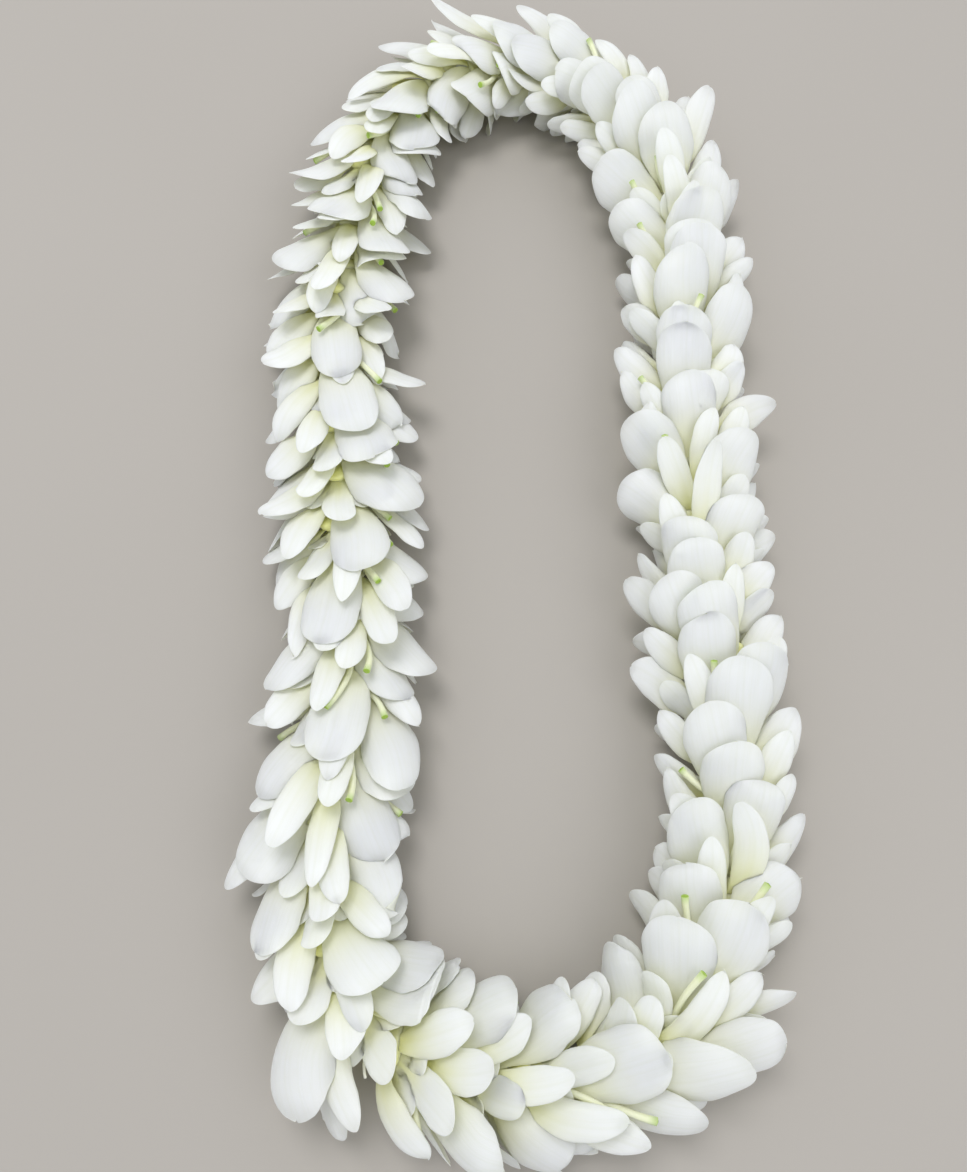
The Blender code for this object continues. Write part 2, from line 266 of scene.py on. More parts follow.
# The half-width that fills a leaf's own coordinates, which carry its veins.
UV_WIDTH = 0.015

# The petals' and the thread's colours, how strongly the veins and the ageing show, and how much finer the
# veins are across a leaf than along it.
COOL_WHITE = (0.815, 0.835, 0.838, 1)
BRIGHT_WHITE = (0.868, 0.888, 0.898, 1)
VEIN_COLOR = (0.73, 0.76, 0.66, 1)
AGED_COLOR = (0.80, 0.79, 0.68, 1)
# The throat's yellow-green, also the colour of the painted glow on the leaves and their inner faces.
THROAT_AND_GLOW_COLOR = (0.85, 0.85, 0.34, 1)
STALK_COLOR = (0.30, 0.44, 0.06, 1)
COTTON_COLORS = ((0.70, 0.69, 0.62, 1), (0.88, 0.88, 0.83, 1))
VEIN_STRENGTH = 0.22
AGED_STRENGTH = 0.20
VEIN_STRETCH = (26.0, 1.6, 1.0)

# The floor, the lights (name, place, size, watts), all aimed at the origin, and the camera.
FLOOR_REACH = 12.0
FLOOR_COLORS = ((0.40, 0.37, 0.34, 1), (0.44, 0.41, 0.38, 1))
SKY_COLOR = (0.95, 0.98, 1.0, 1)
SKY_STRENGTH = 0.73
LIGHTS = (
    ("key", (-0.28, 0.42, 1.60), 0.8, 12.5),
    ("fill", (0.70, -0.50, 0.90), 0.9, 2.5),
)
CAMERA_PLACE = (-0.0108, -0.1627, 0.3642)
CAMERA_TILT = math.radians(19)
CAMERA_LENS = 29.18


class Kind:
    """What the leaves of one kind have in common."""

    def __init__(self, **facts):
        self.__dict__.update(facts)


# For each kind of leaf: its size, how loosely it sits, its layer in shares of the pitch, and its room
# round the thread. Then its outline, grid, thickness, the strength of its bends, and how yellow it is:
# its throat's own colour near the root, and painted glow of light through the petals further up.
PETAL = Kind(
    length=0.0335, width=0.0295, loose=1.0, layer=0.44, room=math.radians(52),
    widest=0.60, root_width=0.15, rise=1.15, tip_power=2.2, tip_round=0.50,
    rows=26, columns=19, thickness=0.00055, ruffle=0.0009, midrib=0.00026, turned=0.38,
    dome=11.0, curl=(-0.14, 0.05), yellow=0.72, yellow_reach=0.74,
)
SEPAL = Kind(
    length=0.0310, width=0.0130, loose=1.0, layer=0.16, room=math.radians(26),
    widest=0.52, root_width=0.44, rise=1.0, tip_power=2.1, tip_round=0.56,
    rows=22, columns=11, thickness=0.00060, ruffle=0.0005, midrib=0.00030, turned=0.82,
    dome=16.0, curl=(-0.16, 0.18), yellow=0.88, yellow_reach=0.82,
)
LIP = Kind(
    length=0.0230, width=0.0135, loose=0.5, layer=0.72, room=math.radians(34),
    widest=0.56, root_width=0.50, rise=1.0, tip_power=2.0, tip_round=0.55,
    rows=20, columns=13, thickness=0.00055, ruffle=0.0007, midrib=0.00020, turned=0.25,
    dome=10.0, curl=(-0.04, 0.10), yellow=0.90, yellow_reach=0.60,
)
LOBE = Kind(
    length=0.0135, width=0.0110, loose=0.5, layer=0.62, room=math.radians(40),
    widest=0.62, root_width=0.60, rise=1.0, tip_power=2.0, tip_round=0.50,
    rows=12, columns=9, thickness=0.00050, ruffle=0.0006, midrib=0.0, turned=0.1,
    dome=-14.0, curl=(-0.05, 0.05), yellow=0.85, yellow_reach=0.95,
)


def smooth_step(value, low, high):
    share = np.clip((value - low) / (high - low), 0, 1)
    return share * share * (3 - 2 * share)


def unit(vectors):
    return vectors / np.maximum(np.linalg.norm(vectors, axis=-1, keepdims=True), 1e-12)


class Strand:
    """The smooth closed line along the middle of the strand, and the space round it."""

    def __init__(self):
        dense = self.through(np.array(LOOP_POINTS) - LOOP_MIDDLE, LOOP_STEPS)
        kernel = np.hanning(2 * LOOP_SMOOTHING + 1)
        dense = self.smoothed(dense, kernel / kernel.sum())
        closed = np.vstack([dense, dense[:1]])
        walked = np.concatenate([[0], np.cumsum(np.linalg.norm(np.diff(closed, axis=0), axis=1))])
        self.length = walked[-1]
        self.stations = np.linspace(0, self.length, LOOP_STATIONS + 1)
        self.line = np.column_stack([np.interp(self.stations, walked, closed[:, i]) for i in (0, 1)])
        step = np.roll(self.line[:-1], -1, axis=0) - np.roll(self.line[:-1], 1, axis=0)
        step /= np.linalg.norm(step, axis=1)[:, None]
        self.along = np.vstack([step, step[:1]])

    @staticmethod
    def through(points, steps):
        """A closed Catmull-Rom curve through the points."""
        before, after, beyond = (np.roll(points, shift, axis=0) for shift in (1, -1, -2))
        pieces = []
        for t in np.linspace(0, 1, steps, endpoint=False):
            pieces.append(0.5 * (
                2 * points
                + (after - before) * t
                + (2 * before - 5 * points + 4 * after - beyond) * t**2
                + (3 * points - before - 3 * after + beyond) * t**3
            ))
        return np.stack(pieces, axis=1).reshape(-1, 2)

    @staticmethod
    def smoothed(line, kernel):
        reach = len(kernel) // 2
        padded = np.vstack([line[-reach:], line, line[:reach]])
        return np.column_stack([np.convolve(padded[:, i], kernel, mode="valid") for i in (0, 1)])

    def from_tie(self, s):
        """How far a place on the thread is from the tie, less than nothing before it."""
        return (s + self.length / 2) % self.length - self.length / 2

    def point(self, s, radius, angle):
        """Places at s along the thread, off it by radius. Angle 0 is out of the loop, 90 degrees is up."""
        s, radius, angle = np.broadcast_arrays(s, radius, angle)
        turn = math.tau * s / self.length
        share = radius / BELL_LENGTH
        swell, lean = (
            sum(size * np.sin(waves * turn + twist * angle + begin) for size, waves, twist, begin in kind)
            for kind in (SWELLS, LEANS)
        )
        spread = TIE_SPREAD * np.exp(-(self.from_tie(s) / TIE_SPREAD_LENGTH) ** 2)
        part = s / self.length % 1
        closed = smooth_step(part, *CLOSED_COMES) * (1 - smooth_step(part, *CLOSED_GOES))
        closed = closed * (1 + np.sin(angle)) / 2
        ahead = lean + TOP_LEAN * np.sin(angle) + CLOSED_LEAN * closed - spread * radius
        s = (s + ahead * share) % self.length
        radius = radius * (1 + (swell - CLOSED_IN * closed) * share)
        x, y = (np.interp(s, self.stations, self.line[:, i]) for i in (0, 1))
        tx, ty = (np.interp(s, self.stations, self.along[:, i]) for i in (0, 1))
        out = WIDENED * radius * np.cos(angle)
        height = STRAND_HEIGHT + FLATTENED * radius * np.sin(angle)
        height = 0.5 * (height + np.hypot(height, PRESS_SOFTNESS)) - PRESS_DROP
        return np.stack((x + out * ty, y - out * tx, height), axis=-1)


STRAND = Strand()
PITCH = (STRAND.length - TIE_GAP) / BLOOMS


def bloom_start(index):
    return TIE_GAP / 2 + index * PITCH


def lip_direction(s):
    turn = s / STRAND.length
    quarters = 1 + smooth_step(turn, *FIRST_TURN) + SECOND_TURN_SHARE * smooth_step(turn, *SECOND_TURN)
    return math.pi / 2 * quarters


def bell(distance):
    """How far a point that far out along a petal lies from the thread, and along it."""
    bend = (BELL_TIP_ANGLE - BELL_ROOT_ANGLE) / BELL_LENGTH
    angle = BELL_ROOT_ANGLE + bend * distance
    radius = ROOT_RADIUS + (math.cos(BELL_ROOT_ANGLE) - np.cos(angle)) / bend
    along = (np.sin(angle) - math.sin(BELL_ROOT_ANGLE)) / bend
    return radius, along


class Leaf:
    """One petal, sepal, lip or side lobe.

    Share runs from 0 at its root to 1 at its tip, and across from -1 at one edge to 1 at the other.
    """

    def __init__(self, start, angle, kind, rng):
        self.start, self.angle, self.kind, self.sheet = start, angle, kind, None
        self.length = kind.length * rng.uniform(*LENGTHS)
        self.half_width = kind.width / 2 * rng.uniform(*WIDTHS)
        self.twist = kind.loose * rng.uniform(*TWISTS)
        self.flare = kind.loose * rng.uniform(*FLARES)
        self.cup = rng.uniform(*CUPS)
        self.lift = rng.uniform(*LIFTS)
        self.sway = kind.loose * rng.uniform(*SWAYS)

    def loosen(self, rng):
        """The finer differences from one leaf to the next."""
        kind = self.kind
        near_tie = math.exp(-(STRAND.from_tie(self.start) / TIE_SPREAD_LENGTH) ** 2)
        grown = 1 + TIE_GROWN * near_tie
        self.length *= grown
        self.half_width *= grown
        self.curl = rng.uniform(*kind.curl)
        self.turned = kind.turned * rng.uniform(*TURNS) * (1 - TIE_UNTURNED * near_tie)
        self.fold = kind.midrib * rng.uniform(*FOLDS)
        self.waves = rng.uniform(*WAVES)
        self.phase = rng.uniform(0, math.tau)
        self.buckle = rng.uniform(*BUCKLES)
        self.uneven = rng.uniform(*UNEVENNESS)
        self.notch = rng.uniform(*NOTCHES)
        self.shade = rng.random()

    def half_widths(self, share):
        kind = self.kind
        rising = np.clip(share / kind.widest, 0, 1)
        falling = np.clip((share - kind.widest) / (1 - kind.widest), 0, 1)
        root = kind.root_width + (1 - kind.root_width) * np.sin(rising * math.pi / 2) ** kind.rise
        return self.half_width * root * np.maximum(1 - falling**kind.tip_power, 0) ** kind.tip_round

    def sides(self, share, across):
        """How far a point lies from the leaf's midline, with the two halves a little uneven."""
        wave = EDGE_WAVE * np.sin(math.tau * self.waves * share + self.phase)
        fine = np.sin(math.tau * FINE_EDGE_WAVES * share + FINE_EDGE_PHASE * self.phase)
        wave = wave + FINE_EDGE_WAVE * fine
        uneven = 1 + (self.uneven + wave) * np.sign(across) * np.abs(across)
        return across * self.half_widths(share) * uneven

    def on_bell(self, share, across):
        """The leaf's middle surface before its own bends."""
        notch = smooth_step(share, NOTCH_START, 1.0) * np.exp(-(across / NOTCH_WIDTH) ** 2)
        notch = NOTCH_DEPTH * (notch * max(self.notch, 0))
        radius, along = bell((share - notch) * self.length * (1 - (1 - self.kept) * share))
        side = self.sides(share, across)
        room = self.kind.room
        turn = room * np.tanh(side / radius / room)
        angle = self.angle + turn + (self.sway + self.aside) * share**2
        under = np.maximum(-np.sin(angle), 0)
        radius = radius + self.lift * share**3 * (1 - under)
        settled = smooth_step(share, 0.0, LAYER_REACHED)
        depth = CORE_LEAD / PITCH * (1 - settled) + self.kind.layer * settled
        side = side / self.half_width
        depth = depth + self.flare * share**2 + share * side * (self.twist + self.cup * side)
        return STRAND.point(self.start + along + depth * PITCH, radius, angle)

    def outwards(self, share, across):
        """The direction off the bell at each point, from its slopes along the leaf and across it."""
        along_step, across_step = 0.01, 0.05
        ahead = self.on_bell(share + along_step, across * 0)
        out = unit(ahead - self.on_bell(share - along_step, across * 0))
        wide = np.minimum(share, NOTCH_START)
        over = unit(self.on_bell(wide, across + across_step) - self.on_bell(wide, across - across_step))
        return unit(np.cross(out, over))

    def bends(self, share, across):
        """How far the leaf's own bends lift each point off the bell."""
        kind = self.kind
        side = self.sides(share, across)
        part = side / self.half_width
        facing = np.cos(self.angle + self.sway * share**2)
        bend = -self.turned * facing * side * smooth_step(share, *TURN_GROWS)
        bend = bend - kind.dome * side**2 * smooth_step(share, *DOME_GROWS)
        bend = bend + self.length * (self.curl * share**CURL_POWER - self.tuck * share**TUCK_POWER)
        wave = np.sin(math.tau * self.waves * share + self.phase + HALVES_APART * np.sign(across))
        bend = bend + kind.ruffle * np.abs(part) ** 3 * wave * share
        buckle = np.sin(math.pi * BUCKLE_WAVES * share + BUCKLE_SLANT * part + self.phase)
        bend = bend + self.buckle * buckle * share
        groove = np.exp(-(side / GROOVE_WIDTH) ** 2) * smooth_step(share, *GROOVE_GROWS)
        return bend - self.fold * groove * (1 - smooth_step(share, *GROOVE_FADES))

    def faces(self):
        """Grids of points for the outer and the inner face, and each point's share and across."""
        kind = self.kind
        share = np.sin(np.linspace(0, 1, kind.rows) * math.pi / 2) * LAST_ROW
        columns = np.sin(np.linspace(-1, 1, kind.columns) * math.pi / 2 * EDGE_CROWDING)
        across = columns / math.sin(math.pi / 2 * EDGE_CROWDING)
        share, across = np.meshgrid(share, across, indexing="ij")
        middle = self.on_bell(share, across)
        free = smooth_step(middle[..., 2], *PRESSED_HEIGHTS)
        bend = self.bends(share, across) * free
        self.middle = middle + self.outwards(share, across) * bend[..., None]
        normal = unit(np.cross(np.gradient(self.middle, axis=0), np.gradient(self.middle, axis=1)))
        edge = np.maximum(np.abs(across) ** 5, smooth_step(share, *THIN_TIP))
        half = kind.thickness / 2 * (1 - THINNED * edge)[..., None]
        outer, inner = self.middle + normal * half, self.middle - normal * half
        raised = np.maximum(FLOOR_CLEAR - np.minimum(outer[..., 2], inner[..., 2]), 0)
        outer[..., 2] += raised
        inner[..., 2] += raised
        return outer, inner, share, across

    def tree(self):
        """The leaf's outer part, as a tree that finds where others cross it."""
        sheet = self.middle[self.kind.rows // 4 :]
        rows, columns = sheet.shape[:2]
        numbers = np.arange(rows * columns).reshape(rows, columns)
        quads = np.stack((numbers[:-1, :-1], numbers[:-1, 1:], numbers[1:, 1:], numbers[1:, :-1]), -1)
        return BVHTree.FromPolygons(sheet.reshape(-1, 3).tolist(), quads.reshape(-1, 4).tolist())

    def settle(self, others, places):
        """Tries the places in turn. Takes the first that crosses no other leaf, or else the best."""
        best = None
        for place in places:
            self.tuck, self.aside, self.kept = place
            grids = self.faces()
            sheet = self.tree()
            crossed = sum(len(sheet.overlap(other)) for other in others)
            if best is None or crossed < best[0]:
                best = crossed, grids, sheet
            if crossed == 0:
                break
        self.grids, self.sheet = best[1:]


class Skin:
    """Gathers the points, faces, leaf coordinates and tints of one piece."""

    def __init__(self):
        self.points, self.quads, self.fans, self.uvs, self.tints = [], [], [], [], []
        self.count = 0

    def add_grid(self, grid, uv, tint, flip=False, closed=False):
        """A grid of points as quads. Returns the points' numbers, in the grid's shape."""
        rows, columns = grid.shape[:2]
        numbers = self.count + np.arange(rows * columns).reshape(rows, columns)
        self.points.append(grid.reshape(-1, 3))
        self.uvs.append(uv.reshape(-1, 2))
        self.tints.append(tint.reshape(-1, 3))
        self.count += rows * columns
        after = np.roll(numbers, -1, axis=1) if closed else numbers[:, 1:]
        here = numbers if closed else numbers[:, :-1]
        quads = np.stack((here[:-1], after[:-1], after[1:], here[1:]), axis=-1).reshape(-1, 4)
        self.quads.append(quads[:, ::-1] if flip else quads)
        return numbers

    def add_strip(self, one, other):
        """A row of quads between two lines of points that are there already."""
        self.quads.append(np.stack((one[:-1], one[1:], other[1:], other[:-1]), axis=-1))

    def add_cap(self, ring, point, tint, flip=False):
        """Closes a ring of points with triangles to one point."""
        self.points.append(point.reshape(1, 3))
        self.uvs.append(np.zeros((1, 2)))
        self.tints.append(np.reshape(tint, (1, 3)))
        fan = np.stack((ring, np.roll(ring, -1), np.full(len(ring), self.count)), axis=-1)
        self.fans.append(fan[:, ::-1] if flip else fan)
        self.count += 1

    def add_leaf(self, leaf):
        outer, inner, share, across = leaf.grids
        kind = leaf.kind
        sideways = across * leaf.half_widths(share) / UV_WIDTH * 0.5 + 0.5
        uv = np.stack((sideways, share * leaf.length / PETAL.length), axis=-1)
        # Yellow near the root is the throat's own; further up it is painted glow of light through the
        # petals.
        until = kind.yellow_reach + YELLOW_UNEVEN * leaf.shade
        yellow = kind.yellow * (1 - smooth_step(share, YELLOW_FROM, until))
        if kind is not PETAL:
            yellow = yellow + LINE_YELLOW * np.exp(-(across / LINE_WIDTH) ** 2) * (1 - share)
        top = self.add_grid(outer, uv, yellow_tint(yellow, leaf.shade), flip=True)
        # The inner face's extra yellow: partly its own colour, partly painted glow in the shade between
        # blooms.
        yellow = yellow + INNER_YELLOW_AND_GLOW * (1 - INNER_FADE * share)
        under = self.add_grid(inner, uv, yellow_tint(yellow, leaf.shade))
        self.add_strip(under[:, 0], top[:, 0])
        self.add_strip(top[:, -1], under[:, -1])
        self.add_strip(top[0], under[0])
        self.add_strip(under[-1], top[-1])

    def to_object(self, name, material):
        points, quads, fans = np.vstack(self.points), np.vstack(self.quads), np.vstack(self.fans)
        corners = np.concatenate([quads.ravel(), fans.ravel()]).astype(np.int32)
        starts = np.concatenate([np.arange(len(quads)) * 4, len(quads) * 4 + np.arange(len(fans)) * 3])
        mesh = bpy.data.meshes.new(name)
        mesh.vertices.add(len(points))
        mesh.vertices.foreach_set("co", points.astype(np.float32).ravel())
        mesh.loops.add(len(corners))
        mesh.loops.foreach_set("vertex_index", corners)
        mesh.polygons.add(len(starts))
        mesh.polygons.foreach_set("loop_start", starts.astype(np.int32))
        mesh.polygons.foreach_set("use_smooth", np.ones(len(starts), dtype=bool))
        layer = mesh.uv_layers.new(name="leaf")
        layer.data.foreach_set("uv", np.vstack(self.uvs)[corners].astype(np.float32).ravel())
        tint = mesh.color_attributes.new(name="tint", type="FLOAT_COLOR", domain="POINT")
        colors = np.column_stack((np.vstack(self.tints), np.ones(len(points))))
        tint.data.foreach_set("color", colors.astype(np.float32).ravel())
        mesh.update()
        mesh.validate()
        mesh.materials.append(material)
        made = bpy.data.objects.new(name, mesh)
        bpy.context.scene.collection.objects.link(made)
        return made


def yellow_tint(yellow, shade):
    """How yellow, how green and how light each point is, for a leaf or a core, which have no green."""
    return np.stack((yellow, np.zeros_like(yellow), np.full_like(yellow, shade)), axis=-1)


def plain_uv(grid):
    rows, columns = grid.shape[:2]
    v, u = np.meshgrid(np.linspace(0, 1, rows), np.linspace(0, 1, columns), indexing="ij")
    return np.stack((u, v), axis=-1)


def add_core(skin, first, blooms):
    """The throats of neighbouring blooms, each with a chin behind its lip, round the thread's channel."""
    low = bloom_start(first) + NODE_GAP / 2
    high = bloom_start(first + len(blooms)) - NODE_GAP / 2
    s = np.linspace(low, high, CORE_ROWS * len(blooms) + 1)[:, None]
    angle = np.linspace(0, math.tau, CORE_SIDES, endpoint=False)[None, :]
    radius = np.full((s.size, angle.size), CORE_RADIUS)
    yellow = np.full_like(radius, CORE_YELLOW)
    for bloom in blooms:
        middle = bloom["start"] + CORE_LEAD
        off = (angle - bloom["lip"] + math.pi) % math.tau - math.pi
        throat = np.exp(-((s - middle) / THROAT_LENGTH) ** 2) * (1 + THROAT_LOBES * np.cos(3 * off))
        chin = np.exp(-((s - middle + CHIN_BACK) / CHIN_LENGTH) ** 4) * np.exp(-(off / CHIN_SPREAD) ** 2)
        radius = radius + THROAT_SWELL * throat + CHIN_SWELL * chin
        yellow = np.maximum(yellow, CHIN_YELLOW * chin**0.5)
    radius[[0, -1]] *= CORE_END
    wall = STRAND.point(s, radius, angle)
    ends = [STRAND.point(s[[end]], BORE_RADIUS, angle) for end in (0, -1)]
    grid = np.vstack([ends[0], wall, ends[1]])
    yellow = np.pad(yellow, ((1, 1), (0, 0)), constant_values=BORE_YELLOW)
    numbers = skin.add_grid(grid, plain_uv(grid), yellow_tint(yellow, CORE_SHADE), flip=True, closed=True)
    after = np.roll(numbers, -1, axis=1)
    skin.quads.append(np.stack((numbers[0], after[0], after[-1], numbers[-1]), axis=-1))


def add_tube(skin, path, radii, tints, sides):
    """A round tube along the path, closed at both ends."""
    along = unit(np.gradient(path, axis=0))
    side = unit(np.cross(along, np.array(TUBE_SIDEWAYS)))
    up = np.cross(along, side)
    angle = np.linspace(0, math.tau, sides, endpoint=False)
    rim = side[:, None] * np.cos(angle)[None, :, None] + up[:, None] * np.sin(angle)[None, :, None]
    grid = path[:, None] + rim * np.asarray(radii)[:, None, None]
    tint = np.repeat(np.array(tints)[:, None], sides, axis=1)
    numbers = skin.add_grid(grid, plain_uv(grid), tint, closed=True)
    skin.add_cap(numbers[0], path[0] - along[0] * radii[0] * CAP_BULGE, tints[0], flip=True)
    skin.add_cap(numbers[-1], path[-1] + along[-1] * radii[-1] * CAP_BULGE, tints[-1])


def stalk_path(bloom, turn, layer, kept):
    radius, ahead = bell(STALK_ROWS * bloom["stalk_length"] * kept)
    lead = CORE_LEAD * STALK_LEAD * (1 - STALK_ROWS) / PITCH
    angle = bloom["stalk_angle"] + turn * STALK_ROWS + STALK_BOW * np.sin(3 * STALK_ROWS)
    layer = STALK_LAYER + layer * STALK_ROWS + lead
    return STRAND.point(bloom["start"] + ahead + layer * PITCH, radius, angle)


def settle_stalk(bloom, leaves):
    """Leans the stalk into the clearest place near its own."""
    trees = [leaf.sheet for leaf in leaves]

    def crowding(place):
        path = [Vector(point) for point in stalk_path(bloom, *place)[2:]]
        steps = [(a, b - a) for a, b in zip(path[:-1], path[1:])]
        points = path + [a + step / 2 for a, step in steps]
        close = crossed = 0
        for tree in trees:
            near = [tree.find_nearest(point, STALK_CLEAR)[3] for point in points]
            close = close + sum(1 - gap / STALK_CLEAR for gap in near if gap is not None)
            crossed += sum(tree.ray_cast(a, step, step.length)[3] is not None for a, step in steps)
        turn, layer, kept = place
        strayed = close + CROSSED_COST * crossed + TURN_COST * abs(turn) + LAYER_COST * abs(layer)
        return strayed + CUT_COST * (1 - kept)

    bloom["stalk"] = stalk_path(bloom, *min(STALK_PLACES, key=crowding))


def add_stalk(skin, bloom):
    """The short stalk that the bloom was picked by, greener towards its cut end."""
    path = bloom["stalk"]
    path = np.vstack([path, path[-1] + (path[-1] - path[-2]) * STALK_CUT])
    tints = [(0.42, 0.04 + 0.22 * share**6, bloom["shade"]) for share in STALK_ROWS[:-1]]
    tints += [(0.3, 0.75, bloom["shade"]), (0.2, 1.0, bloom["shade"])]
    add_tube(skin, path, STALK_RADII, tints, sides=10)


def add_column(skin, bloom):
    """The small column at the middle of a bloom, opposite its lip, which ends in a rounded hood."""
    share = np.linspace(0, 1, COLUMN_ROWS)
    radius = COLUMN_RISE + COLUMN_RISE * share
    start = bloom["start"] + CORE_LEAD
    path = STRAND.point(start + COLUMN_LENGTH * share, radius, bloom["lip"] + math.pi)
    radii = COLUMN_RADIUS * np.sqrt(np.maximum(1 - share**6, 0.02)) * (0.85 + 0.25 * share)
    tints = [(COLUMN_YELLOW * (1 - k), 0.0, COLUMN_SHADE) for k in share]
    add_tube(skin, path, radii, tints, sides=10)


def settle_leaves(blooms):
    """Parts the leaves that cross each other: all a little where need be, then those left by more."""
    for places in (SMALL_MOVES, LARGE_MOVES, LARGE_MOVES):
        for index, bloom in enumerate(blooms):
            near = [blooms[(index + step) % BLOOMS]["leaves"] for step in BLOOMS_NEAR_LEAF]
            near = [leaf for leaves in near for leaf in leaves]
            for leaf in sorted(bloom["leaves"], key=lambda leaf: leaf.kind.layer):
                others = [other.sheet for other in near if other.sheet and other is not leaf]
                if leaf.sheet is None or any(leaf.sheet.overlap(other) for other in others):
                    leaf.settle(others, places)


def drawn_bloom(index):
    """A bloom, drawn in the same order as in the solids, then loosened."""
    rng = random.Random(SEED * 1000 + index)
    start = bloom_start(index)
    lip = lip_direction(start) + math.pi * (index % 2) + rng.uniform(-LIP_JITTER, LIP_JITTER)
    turns = (
        (0, LIP), (SIDE_SEPAL_ANGLE, SEPAL), (PETAL_ANGLE, PETAL),
        (math.pi, SEPAL), (-PETAL_ANGLE, PETAL), (-SIDE_SEPAL_ANGLE, SEPAL),
    )
    leaves = [Leaf(start, lip + turn, kind, rng) for turn, kind in turns]
    side = rng.choice((-1, 1))
    if math.sin(lip + side * STALK_ANGLE) < STALK_LOWEST:
        side = -side
    stalk_length = rng.uniform(*STALK_LENGTHS)
    leaves += [Leaf(start, lip + turn, LOBE, rng) for turn in (-LOBE_ANGLE, LOBE_ANGLE)]
    for leaf in leaves:
        leaf.loosen(rng)
    return {
        "start": start, "lip": lip, "leaves": leaves, "shade": rng.random(),
        "stalk_angle": lip + side * STALK_ANGLE, "stalk_length": stalk_length,
    }


def all_blooms():
    blooms = [drawn_bloom(index) for index in range(BLOOMS)]
    settle_leaves(blooms)
    for index, bloom in enumerate(blooms):
        near = [blooms[(index + step) % BLOOMS] for step in BLOOMS_NEAR_STALK]
        settle_stalk(bloom, [leaf for other in near for leaf in other["leaves"]])
    return blooms


def bloom_piece(number, blooms, material):
    """A pair of neighbouring blooms."""
    first = number * BLOOMS_PER_NODE
    blooms = blooms[first : first + BLOOMS_PER_NODE]
    skin = Skin()
    add_core(skin, first, blooms)
    for bloom in blooms:
        for leaf in bloom["leaves"]:
            skin.add_leaf(leaf)
        add_stalk(skin, bloom)
        add_column(skin, bloom)
    piece = skin.to_object(f"petals_{number + 1:02d}", material)
    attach(piece, "root")
    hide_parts(f"bloom_pair_{number + 1:02d}")


def add_cord(skin, path, radius, sides):
    add_tube(skin, path, np.full(len(path), radius), [THREAD_TINT] * len(path), sides)


def knot_path():
    """A closed overhand knot at the tie."""
    turn = np.linspace(0, math.tau, KNOT_ROWS)
    knot = np.stack((
        np.sin(turn) + 2 * np.sin(2 * turn),
        np.cos(turn) - 2 * np.cos(2 * turn),
        -np.sin(3 * turn),
    ), axis=-1)
    return STRAND.point(0.0, 0.0, 0.0) + knot * np.array(KNOT_SIZE)


def tail_path(angle):
    share = np.linspace(0, 1, TAIL_ROWS)
    radius, ahead = bell(share * TAIL_LENGTH)
    s = TAIL_OFFSET * share**0.5 + ahead
    return STRAND.point(s, radius - ROOT_RADIUS * (1 - share), angle + TAIL_TURN * share**2)


def thread_piece(material):
    """The two-ply thread, plain where the blooms hide it, with its knot and two short ends."""
    skin = Skin()
    hidden_from = BARE_THREAD - PLY_OVERLAP
    s = np.linspace(hidden_from, STRAND.length - BARE_THREAD + PLY_OVERLAP, THREAD_ROWS)
    add_cord(skin, STRAND.point(s, 0.0, 0.0), THREAD_RADIUS, sides=8)
    s = np.linspace(-BARE_THREAD, BARE_THREAD, PLY_ROWS)
    for ply in (0, math.pi):
        path = STRAND.point(s, THREAD_RADIUS * PLY_OFF, s / PLY_TWIST * math.tau + ply)
        add_cord(skin, path, THREAD_RADIUS * PLY_RADIUS, sides=9)
    add_cord(skin, knot_path(), THREAD_RADIUS * KNOT_CORD, sides=9)
    for angle in TAIL_ANGLES:
        add_cord(skin, tail_path(angle), THREAD_RADIUS, sides=8)
    piece = skin.to_object("thread_and_knot", material)
    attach(piece, "root")
    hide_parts("thread")


class Shader:
    """A short way to write a material's nodes."""

    def __init__(self, name):
        self.material = bpy.data.materials.new(name)
        self.material.use_nodes = True
        self.tree = self.material.node_tree
        self.surface = self.tree.nodes["Principled BSDF"]

    def node(self, kind, **values):
        """A new node, with its own properties and inputs set or linked by name."""
        made = self.tree.nodes.new(kind)
        for key, value in values.items():
            if hasattr(made, key):
                setattr(made, key, value)
            else:
                self.feed(made.inputs[key.replace("_", " ")], value)
        return made

    def feed(self, socket, value):
        if isinstance(value, bpy.types.NodeSocket):
            self.tree.links.new(value, socket)
        else:
            socket.default_value = value

    def finish(self, **values):
        """Sets or links the surface's own inputs."""
        for key, value in values.items():
            self.feed(self.surface.inputs[key.replace("_", " ")], value)

    def math(self, operation, *values):
        made = self.node("ShaderNodeMath", operation=operation)
        for socket, value in zip(made.inputs, values):
            self.feed(socket, value)
        return made.outputs[0]

    def mix(self, amount, low, high):
        made = self.node("ShaderNodeMix", data_type="RGBA")
        self.feed(made.inputs["Factor"], amount)
        self.feed(made.inputs[6], low)
        self.feed(made.inputs[7], high)
        return made.outputs[2]

    def noise(self, vector, scale, detail, roughness):
        made = self.node(
            "ShaderNodeTexNoise", Vector=vector, Scale=scale, Detail=detail, Roughness=roughness
        )
        return made.outputs["Fac"]

    def ramp(self, value, low, high):
        made = self.node("ShaderNodeMapRange", Value=value, From_Min=low, From_Max=high)
        return made.outputs["Result"]

    def bump(self, height, strength, distance):
        made = self.node("ShaderNodeBump", Height=height, Strength=strength, Distance=distance)
        return made.outputs["Normal"]


